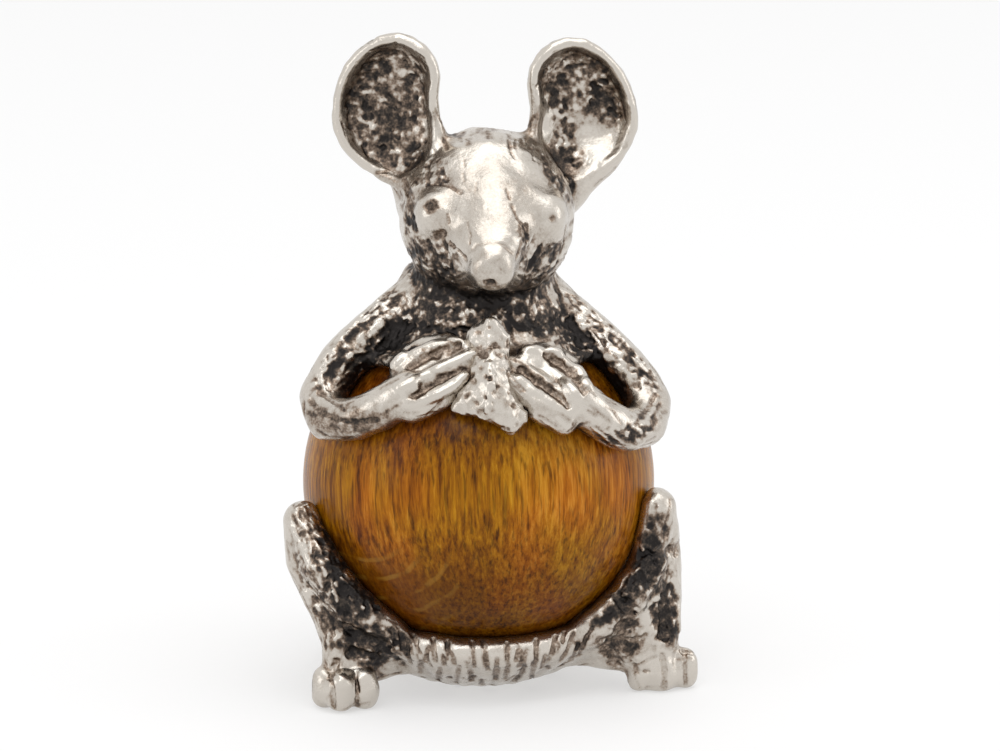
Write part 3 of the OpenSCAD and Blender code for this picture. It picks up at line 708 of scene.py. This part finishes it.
# Hollows are dark, or bright where the darkness is negative: (size of a dab, depth of a pit, darkness,
# outline), and then the length of streaks in place of pits and grains, or 0 for a plain tone
UPPER_HOLLOWS = {
    "left cup": (0.9, 0.1, 0.6, [
        (389, 48), (369, 58), (357, 71), (347, 89), (345, 104), (349, 123), (354, 138), (366, 151),
        (384, 157), (391, 165), (400, 172), (412, 172), (421, 165), (426, 150), (427, 135), (423, 117),
        (421, 103), (423, 91), (428, 80), (428, 66), (415, 58), (404, 52)]),
    "right cup": (0.9, 0.1, 0.58, [
        (574, 50), (556, 58), (544, 69), (543, 85), (550, 104), (580, 112), (600, 118), (622, 124),
        (620, 100), (613, 77), (602, 58)]),
    "right cup, below": (0.7, 0.1, 0.28, [
        (550, 104), (556, 115), (554, 129), (556, 150), (572, 168), (590, 166), (576, 150), (574, 118)]),
    # Painted shade under the jaw, between the head and the chest
    "chin": (0.9, 0.04, 0.65, [
        (411, 276), (440, 270), (458, 282), (490, 289), (515, 284), (546, 268), (556, 276), (545, 300),
        (490, 303), (425, 300)]),
    "chest": (0.9, 0.1, 0.33, [
        (402, 302), (440, 296), (500, 304), (560, 302), (583, 325), (590, 345), (560, 345), (505, 325),
        (470, 330), (445, 334), (420, 336), (395, 350), (385, 335)], 1.3),
    "left arm, inside": (0.8, 0.08, 0.4, [
        (345, 390), (346, 368), (366, 345), (388, 325), (410, 312), (404, 345), (385, 352), (365, 388),
        (352, 394)], 1.5),
    "right arm, inside": (0.8, 0.08, 0.5, [
        (556, 312), (570, 328), (592, 352), (612, 372), (624, 390), (620, 402), (610, 405), (600, 385),
        (588, 368), (572, 350)], 1.5),
    "left arm, outside": (0.6, 0.06, 0.03, [
        (395, 290), (372, 305), (350, 330), (326, 362), (318, 385), (330, 385),
        (352, 340), (392, 305)], 1.8),
    "right arm, outside": (0.6, 0.06, 0.05, [
        (575, 300), (604, 322), (630, 350), (655, 380), (645, 385), (612, 350), (580, 318)], 1.8),
    "left cheek": (0.6, 0.06, 0.4, [
        (425, 240), (445, 238), (462, 255), (455, 275), (440, 285), (425, 270)], 1.0),
    "left cheek, outside": (0.6, 0.06, 0.5, [
        (403, 200), (414, 212), (418, 235), (424, 262), (428, 282), (411, 280), (406, 240)], 1.2),
    "right cheek": (0.6, 0.06, 0.42, [
        (520, 225), (535, 245), (545, 250), (563, 240), (556, 270), (530, 281), (520, 262)], 1.0),
    "nose": (0.8, 0.0, 0.1, [
        (470, 256), (490, 250), (512, 256), (514, 274), (502, 288), (480, 288), (468, 272)], 0),
    "left temple": (0.6, 0.04, 0.35, [
        (424, 160), (440, 158), (450, 180), (436, 186), (422, 188), (408, 190)]),
    "right temple": (0.6, 0.04, 0.35, [
        (540, 150), (556, 170), (572, 182), (574, 205), (562, 195), (548, 180)]),
    # A painted dark reflection: the forearms darkened as if they mirrored darker surroundings, the right one
    # also streaked
    "left forearm": (1.0, 0.03, 0.35, [
        (300, 405), (330, 412), (380, 412), (400, 420), (380, 436), (340, 440), (312, 428)], 0),
    "right forearm": (0.8, 0.03, 0.12, [
        (560, 420), (590, 432), (630, 428), (660, 400), (655, 425), (640, 440),
        (600, 450), (575, 440)], 1.2),
}
LOWER_HOLLOWS = {
    # Negative darkness lightens the feet, taking back some of the painted shade there, and the strap a
    # little
    "left foot": (0.8, 0.0, -0.12, [
        (316, 668), (345, 655), (380, 668), (380, 705), (345, 712), (316, 700)], 0),
    "right foot": (0.8, 0.0, -0.12, [(640, 652), (664, 645), (697, 650), (695, 685), (640, 690)], 0),
    "strap": (0.8, 0.0, -0.02, [(410, 645), (580, 645), (560, 670), (500, 682), (430, 672)], 0),
    "left leg": (0.7, 0.06, 0.1, [
        (292, 505), (310, 500), (322, 530), (332, 575), (340, 640), (318, 650),
        (306, 595), (292, 555)], 0.9),
    "right leg": (0.7, 0.06, 0.3, [
        (655, 505), (668, 522), (668, 552), (676, 580), (679, 640), (650, 645), (650, 600), (655, 570),
        (648, 552)], 0.9),
    "left leg's edge": (0.5, 0.08, 0.45, [
        (318, 520), (330, 540), (345, 565), (362, 590), (385, 615), (370, 618), (350, 600), (335, 575),
        (322, 550)]),
    "right leg's edge": (0.5, 0.08, 0.5, [
        (650, 520), (656, 545), (648, 575), (630, 600), (605, 620), (590, 625), (612, 605), (630, 580),
        (643, 548)]),
    "right shin, outside": (0.6, 0.1, 0.5, [(664, 560), (674, 575), (677, 620), (672, 640), (664, 600)]),
    "left web": (0.7, 0.12, 0.75, [
        (336, 600), (350, 590), (362, 616), (398, 632), (400, 655), (375, 664), (345, 655), (340, 630)]),
    "left knee": (0.5, 0.12, 0.45, [(322, 578), (336, 574), (332, 600), (320, 600)]),
    "right shin": (0.7, 0.12, 0.75, [
        (640, 552), (660, 556), (668, 590), (671, 638), (658, 640), (654, 600), (638, 600)]),
    "right web": (0.7, 0.12, 0.75, [(614, 606), (636, 600), (638, 632), (618, 632)]),
    "right web, below": (0.7, 0.1, 0.65, [(598, 638), (640, 640), (640, 655), (620, 668), (600, 655)]),
}
# Dabs, pits and grains to a square millimetre, and what a dab darkens, in squares of its size
DABS, PITS, GRAINS, DAB_SHARE = 8.0, 8, 6, 2.4
# Dark and bright streaks: number to a square millimetre, half width, depth if not a pit's, darkness
STREAKS = ((6, 0.16, None, 0.18), (4, 0.12, -0.04, -0.36))
# How near a skin is to its node and the node's box, and how scratches vary in length, aim and weight
NEAR_NODE, NEAR_BOX = 0.25, 0.3
LENGTHS, STRAY, WEIGHTS = (0.5, 1.4), 0.12, (0.6, 1.3)
# How far to each side a bend is measured, and in how many directions
BEND_REACH, BEND_WAYS = 0.7, 12
# Cuts in the fur: node, number and length. On the seat: places tried, most cuts, and what faces outwards
FUR = (("head", 600, 1.5), ("chest", 420, 2.2))
SEAT_TRIES, SEAT_CUTS, OUTWARDS = 500, 240, 0.4


def spots_in(outline, count):
    """Random pixels inside an outline."""
    edge = np.array(outline, float)
    found = []
    while len(found) < count:
        x, y = rng.uniform(edge.min(0), edge.max(0))
        a, b = edge, np.roll(edge, -1, axis=0)
        cross = (a[:, 1] > y) != (b[:, 1] > y)
        at = a[cross, 0] + (y - a[cross, 1]) / (b[cross, 1] - a[cross, 1]) * (b[cross, 0] - a[cross, 0])
        if (at > x).sum() % 2:
            found.append((x, y))
    return np.array(found)


def dapple(block, size, depth, soot_and_shade, outline, streak=None):
    """Darkens a hollow to about a level, with pits and bright grains, or with streaks of a length."""
    edge = np.array(outline, float)
    area = (edge.max(0) - edge.min(0)).prod() * PIXEL**2
    for p in block.seen(spots_in(outline, int(DABS * area))):
        block.stroke([p], size, depth=0, soot_and_shade=soot_and_shade / (DABS * DAB_SHARE * size**2))
    if streak == 0:
        return
    if streak:
        for count, width, sink, dark in STREAKS:
            points = block.seen(spots_in(outline, int(count * area)))
            ways = along(block, points, block.slope(block.form, points))
            scratch(block, points, ways, streak, width, depth if sink is None else sink, dark)
        return
    for p in block.seen(spots_in(outline, int(PITS * area))):
        width, deep = 0.2 * rng.uniform(0.6, 1.5), depth * rng.uniform(-0.6, 1.4)
        block.stroke([p], width, deep, soot_and_shade=rng.uniform(-0.15, 0.3))
    for p in block.seen(spots_in(outline, int(GRAINS * area))):
        block.stroke([p], width=0.14 * rng.uniform(0.7, 1.6), depth=-0.05, soot_and_shade=-0.45)


def skin_points(block, name, count):
    """Random places on a node's share of the surface, and the outward directions there."""
    low, high = node_box(name)
    points, _ = block.surface(block.form, block.part(low - NEAR_BOX, high + NEAR_BOX), 0.0)
    mine = np.abs(block.sample(block.nodes[name], points)) < NEAR_NODE
    points = points[mine]
    points = points[rng.choice(len(points), min(count, len(points)), replace=False)]
    return points, block.slope(block.form, points)


def along(block, points, normals):
    """The direction in which the surface bends least, which runs along a limb."""
    bend = np.stack([
        block.slope(block.form, points + d) - block.slope(block.form, points - d)
        for d in np.eye(3, dtype=np.float32) * BEND_REACH
    ], axis=-1)
    side = np.cross(normals, np.where(np.abs(normals[:, 2:]) < 0.9, [[0, 0, 1.0]], [[1.0, 0, 0]]))
    side /= np.linalg.norm(side, axis=1, keepdims=True)
    other = np.cross(normals, side)
    t = np.linspace(0, pi, BEND_WAYS, endpoint=False)[:, None, None]
    ways = np.cos(t) * side + np.sin(t) * other
    turn = np.abs(np.einsum("kni,nij,knj->kn", ways, bend, ways))
    return ways[turn.argmin(0), np.arange(len(points))]


def scratch(block, points, ways, length, width, depth, soot_and_shade):
    """Short tool marks along the given directions, drawn back onto the surface."""
    count = len(points)
    half = 0.5 * length * rng.uniform(*LENGTHS, (count, 1)) * (ways + rng.normal(0, STRAY, (count, 3)))
    paths = np.stack([points - half, points, points + half], axis=1).astype(np.float32)
    paths -= block.sample(block.form, paths)[..., None] * block.slope(block.form, paths)
    for path, k in zip(paths, rng.uniform(*WEIGHTS, count)):
        block.stroke(path, width * k, depth * k, soot_and_shade * k)


# The nodes that run into the head, or into the seat, each with the length of its fillet
UPPER_BLENDS = {"chest": 0.8, "left_ear": 1.5, "right_ear": 1.5, "left_arm": 1.2, "right_arm": 1.2}
EYE_BLENDS = {"left_eye": 1.3, "right_eye": 0.8}
LOWER_BLENDS = {"left_leg": 1.0, "right_leg": 1.0, "tail": 0.8}


def casting(first, blends, step):
    """A block with the form of one node, into which others run."""
    block = Block([first, *blends], step)
    block.form = block.nodes[first]
    for name, k in blends.items():
        block.form = smooth_union(block.form, block.nodes[name], k)
    return block


def photo_bar(block, ends, depth, radius, k):
    """Adds a bar between two pixels of the photograph, at a depth behind what it shows there."""
    a, b = (block.under(spot, depth) for spot in ends)
    block.lump(a, b, (radius, radius), k)


def behind(radius, middle, turn):
    """A point on a level circle, at a turn from straight behind."""
    return radius * np.array([sin(turn), cos(turn), 0]) + middle


def let_in_eyes(block):
    """Adds the eyes as round beads, whose pupils are sunk later."""
    for name, k in EYE_BLENDS.items():
        low, high = node_box(name)
        middle, radius = (low + high) / 2, (high - low).max() / 2
        away = np.sqrt(squared(block.axes(), middle)) - radius
        block.nodes[name] = np.clip(away, -REACH, REACH).astype(np.float32)
        block.form = smooth_union(block.form, block.nodes[name], k)


def upper_casting():
    """Head, ears, eyes, chest and arms in one shape, and the middle of the brow."""
    block = casting("head", UPPER_BLENDS, STEP)
    let_in_eyes(block)
    for ends in SNOUT_SIDES:
        photo_bar(block, ends, depth=1.2, radius=1.1, k=1.6)
    for a, b, radii in EAR_ROOTS:
        block.lump(a, b, radii, k=1.5)
    for ear in EARS:
        wall = ear_ring(*ear, share=0.875, depth=1.0)
        for a, b in zip(wall, np.roll(wall, 1, axis=0)):
            block.lump(a, b, radii=(0.5, 0.5), k=0.3)
    block.lump(*NAPE, k=2.0)
    hem = [behind(HEM_R, HEM_AT, turn) for turn in HEM_TURNS]
    for a, b in zip(hem[:-1], hem[1:]):
        block.lump(a, b, radii=(0.8, 0.8), k=1.6)
    for nape in EAR_NAPES:
        block.soften(np.array(nape), radius=3.6, sigma=6)
    for turn in COLLAR_TURNS:
        block.soften(behind(COLLAR_R, COLLAR_AT, turn), radius=3.6, sigma=7)
    for elbow in ELBOWS:
        block.soften(block.under(elbow, depth=0.8), radius=3.6, sigma=5)
    brow = block.under(BROW, depth=0.5)
    block.soften(brow, radius=5.0, sigma=7)
    block.form = blur(block.form, sigma=2.4) - CAST_FILL
    return block, brow


def lower_casting():
    """Seat, legs and tail in one shape."""
    block = casting("seat", LOWER_BLENDS, STEP)
    for ends, radius in TOES:
        photo_bar(block, ends, depth=1.2, radius=radius, k=0.9)
    block.form = blur(block.form, sigma=2.2) - CAST_FILL
    return block


def morsel_casting():
    """The crumb between the paws."""
    block = casting("morsel", {}, FINE_STEP)
    for ends in CRUMB_BARS:
        photo_bar(block, ends, depth=0.8, radius=0.9, k=0.8)
    block.form = blur(block.form, sigma=2.0) - CAST_FILL
    dent(block, CRUMB_DENTS)
    return block


def fur_marks(block, brow):
    """Short cuts in the fur, back from the nose on the head and down on the chest."""
    nose = block.seen([NOSE])[0]
    for name, count, length in FUR:
        points, normals = skin_points(block, name, count)
        flow = points - nose if name == "head" else np.tile([0, 0, -1.0], (len(points), 1))
        flow = flow - (flow * normals).sum(1, keepdims=True) * normals
        flow /= np.maximum(np.linalg.norm(flow, axis=1, keepdims=True), 1e-6)
        far = np.linalg.norm(points - nose, axis=1) > SMOOTH_NOSE
        far &= np.linalg.norm(points - brow, axis=1) > SMOOTH_BROW
        scratch(block, points[far], flow[far], length, width=0.16, depth=0.08, soot_and_shade=0.2)


def limb_marks(block, names):
    """Short cuts along limbs, ears and tail."""
    for name in names:
        points, normals = skin_points(block, name, count=130)
        ways = along(block, points, normals)
        scratch(block, points, ways, length=1.6, width=0.15, depth=0.07, soot_and_shade=0.2)


def seat_marks(block):
    """Chased cuts down the outside of the bowl."""
    points, normals = skin_points(block, "seat", SEAT_TRIES)
    outer = (normals * (points - BALL)).sum(1) > OUTWARDS
    points, normals = points[outer][:SEAT_CUTS], normals[outer][:SEAT_CUTS]
    down = np.array([0, 0, -1.0]) - normals * -normals[:, 2:]
    scratch(block, points, down, length=1.7, width=0.2, depth=0.16, soot_and_shade=0.4)


def photo_marks(upper, lower):
    """The marks that the photograph shows on the two large castings."""
    for path in RIDGES:
        upper.trace(path, width=0.7, depth=-0.28, soot_and_shade=-0.1)
    for path in RIMS:
        upper.trace(path, width=0.75, depth=-0.12, soot_and_shade=-0.45)
    for width, depth, path in FACE + ARMS:
        upper.trace(path, 0.85 * width, 0.7 * depth, soot_and_shade=0.55 * depth + 0.05)
    for width, depth, path in PAWS:
        upper.trace(path, width, depth, soot_and_shade=0.42)
    for width, depth, path in LEGS:
        lower.trace(path, width, 0.85 * depth, soot_and_shade=0.5 * depth)
    for path in STRAP:
        lower.trace(path, width=0.22, depth=0.26, soot_and_shade=0.3)
    for hollow in UPPER_HOLLOWS.values():
        dapple(upper, *hollow)
    for hollow in LOWER_HOLLOWS.values():
        dapple(lower, *hollow)


def morsel_marks(block):
    """Pits and grains all over the crumb, a hollow near its top and a fold down its middle."""
    for p in skin_points(block, "morsel", count=260)[0]:
        k = rng.uniform(-1, 1.3)
        block.stroke([p], rng.uniform(0.15, 0.35), 0.12 * k, soot_and_shade=0.22 * k + 0.15)
    block.trace(CRUMB_HOLLOW, width=0.5, depth=0.25, soot_and_shade=0.4)
    block.trace(CRUMB_FOLD, width=0.5, depth=-0.2, soot_and_shade=-0.05)


def cast_metal(material):
    """All the metal pieces: shaped, marked, fitted to the ball and split by node again."""
    upper, brow = upper_casting()
    lower = lower_casting()
    crumb = morsel_casting()
    dent(upper, CAST_DENTS)
    dent(lower, CAST_DENTS)
    fur_marks(upper, brow)
    limb_marks(upper, ("left_arm", "right_arm", "left_ear", "right_ear"))
    limb_marks(lower, LOWER_BLENDS)
    seat_marks(lower)
    photo_marks(upper, lower)
    morsel_marks(crumb)
    blocks = (upper, lower, crumb)
    for block in blocks:
        fit(block)
    for pupil, width, depth, soot_and_shade in PUPILS:
        upper.trace([pupil], width, depth, soot_and_shade)
    for block in blocks:
        for name in block.nodes:
            cast_piece(block, name, material)


# The ball's rings and points to a ring, and how far it stays inside the node's true sphere
BALL_RINGS, BALL_TURNS = 150, 220
HAIR = 0.01


def turned_ball(material):
    """The ball with its bore, as one revolved skin."""
    low, high = node_box("belly_ball")
    bore = sqrt(BALL_R**2 - ((high[2] - low[2]) / 2) ** 2)
    edge = asin(bore / BALL_R)
    tilt = np.linspace(edge, pi - edge, BALL_RINGS)[:, None]
    turn = np.linspace(0, 2 * pi, BALL_TURNS, endpoint=False)
    r, h = (BALL_R - HAIR) * np.sin(tilt), (BALL_R - HAIR) * np.cos(tilt)
    points = np.stack([
        r * np.cos(turn), r * np.sin(turn), np.repeat(h, BALL_TURNS, 1) + BALL[2]
    ], axis=-1).reshape(-1, 3)
    here = np.arange(len(points)).reshape(BALL_RINGS, BALL_TURNS)
    below = np.roll(here, -1, axis=0)
    faces = np.stack([here, below, np.roll(below, -1, axis=1), np.roll(here, -1, axis=1)], axis=-1)
    mesh = new_mesh("belly_ball", points, faces.reshape(-1, 4).tolist(), material)
    smooth = [True] * ((BALL_RINGS - 1) * BALL_TURNS) + [False] * BALL_TURNS
    mesh.polygons.foreach_set("use_smooth", smooth)
    mesh.update()
    for e in mesh.edges:
        a, b = (v // BALL_TURNS for v in e.vertices)
        e.use_edge_sharp = a == b and a in (0, BALL_RINGS - 1)
    show_piece("belly_ball", mesh)


# Stage, light and camera. Lamps: name, place and size in millimetres, and power in watts

LAMPS = (
    ("top", (40, -60, 620), (580, 580), 1.35),
    ("key", (-150, -280, 380), (110, 110), 0.13),
    ("left", (-380, -120, 140), (136, 220), 0.12),
    ("right", (380, -60, 140), (145, 240), 0.14),
)
LAMP_AIM = Vector((0, 0, 25))
# The floor's half width and depth, its share of plain white, and the world's light
FLOOR_HALF, FLOOR_DROP = 1500.0, 0.05
FLOOR_SHINE = 0.5
WORLD_LIGHT = 0.76


def area_lamp(name, at, size, power):
    """A flat lamp that looks at the middle of the figure."""
    lamp = bpy.data.lights.new(name, "AREA")
    lamp.shape = "RECTANGLE"
    lamp.size, lamp.size_y = size[0] / MM, size[1] / MM
    lamp.energy = power
    o = put_in_scene(name, lamp)
    o.location = Vector(at) / MM
    o.rotation_euler = (LAMP_AIM - Vector(at)).to_track_quat("-Z", "Y").to_euler()


def shown_to_eye(n):
    """One for rays that show the background, seen straight on, in gloss or through glass."""
    rays = n.add("LightPath").outputs
    either = n.math("MAXIMUM", rays["Is Camera Ray"], rays["Is Glossy Ray"])
    return n.math("MAXIMUM", either, rays["Is Transmission Ray"])


def pale_floor():
    """A white floor that keeps the shadow."""
    n = Nodes(bpy.data.materials.new("pale_floor"))
    n.look(Base_Color=(0.95, 0.95, 0.95, 1), Roughness=0.9)
    plain = n.tree.nodes["Principled BSDF"].outputs["BSDF"]
    shine = n.add("Emission", Color=(1, 1, 1, 1), Strength=1.0).outputs["Emission"]
    both = n.blend(n.math("MULTIPLY", shown_to_eye(n), FLOOR_SHINE), plain, shine)
    n.put(n.tree.nodes["Material Output"], "Surface", both)
    r = FLOOR_HALF
    corners = [(-r, -r, 0), (r, -r, 0), (r, r, 0), (-r, r, 0)]
    floor = put_in_scene("floor", new_mesh("floor", corners, [(0, 1, 2, 3)], n.owner))
    floor.location.z = -FLOOR_DROP / MM


def white_world():
    """White where the background shows, and plain light for everything else."""
    world = bpy.data.worlds.new("studio")
    bpy.context.scene.world = world
    n = Nodes(world)
    n.tree.nodes.clear()
    shown, light = (
        n.add("Background", Color=(1, 1, 1, 1), Strength=strength).outputs[0]
        for strength in (1.0, WORLD_LIGHT)
    )
    n.add("OutputWorld", Surface=n.blend(shown_to_eye(n), light, shown))


def camera():
    """The photograph's camera."""
    data = bpy.data.cameras.new("photo_camera")
    data.sensor_width = SENSOR
    data.lens = SENSOR * DISTANCE / (PHOTO[0] * PIXEL)
    data.clip_start, data.clip_end = 0.01, 10
    o = put_in_scene("photo_camera", data)
    o.location = Vector(EYE) / MM
    middle = photo_point(PHOTO[0] / 2, PHOTO[1] / 2)
    o.rotation_euler = Vector(middle - EYE).to_track_quat("-Z", "Y").to_euler()
    bpy.context.scene.camera = o


silver = antique_silver("antique_silver")
wood = beech("stained_beech")
cast_metal(silver)
turned_ball(wood)
steel_post()
pale_floor()
white_world()
for lamp in LAMPS:
    area_lamp(*lamp)
camera()
for look in bpy.data.scenes:
    look.view_settings.view_transform = "Standard"
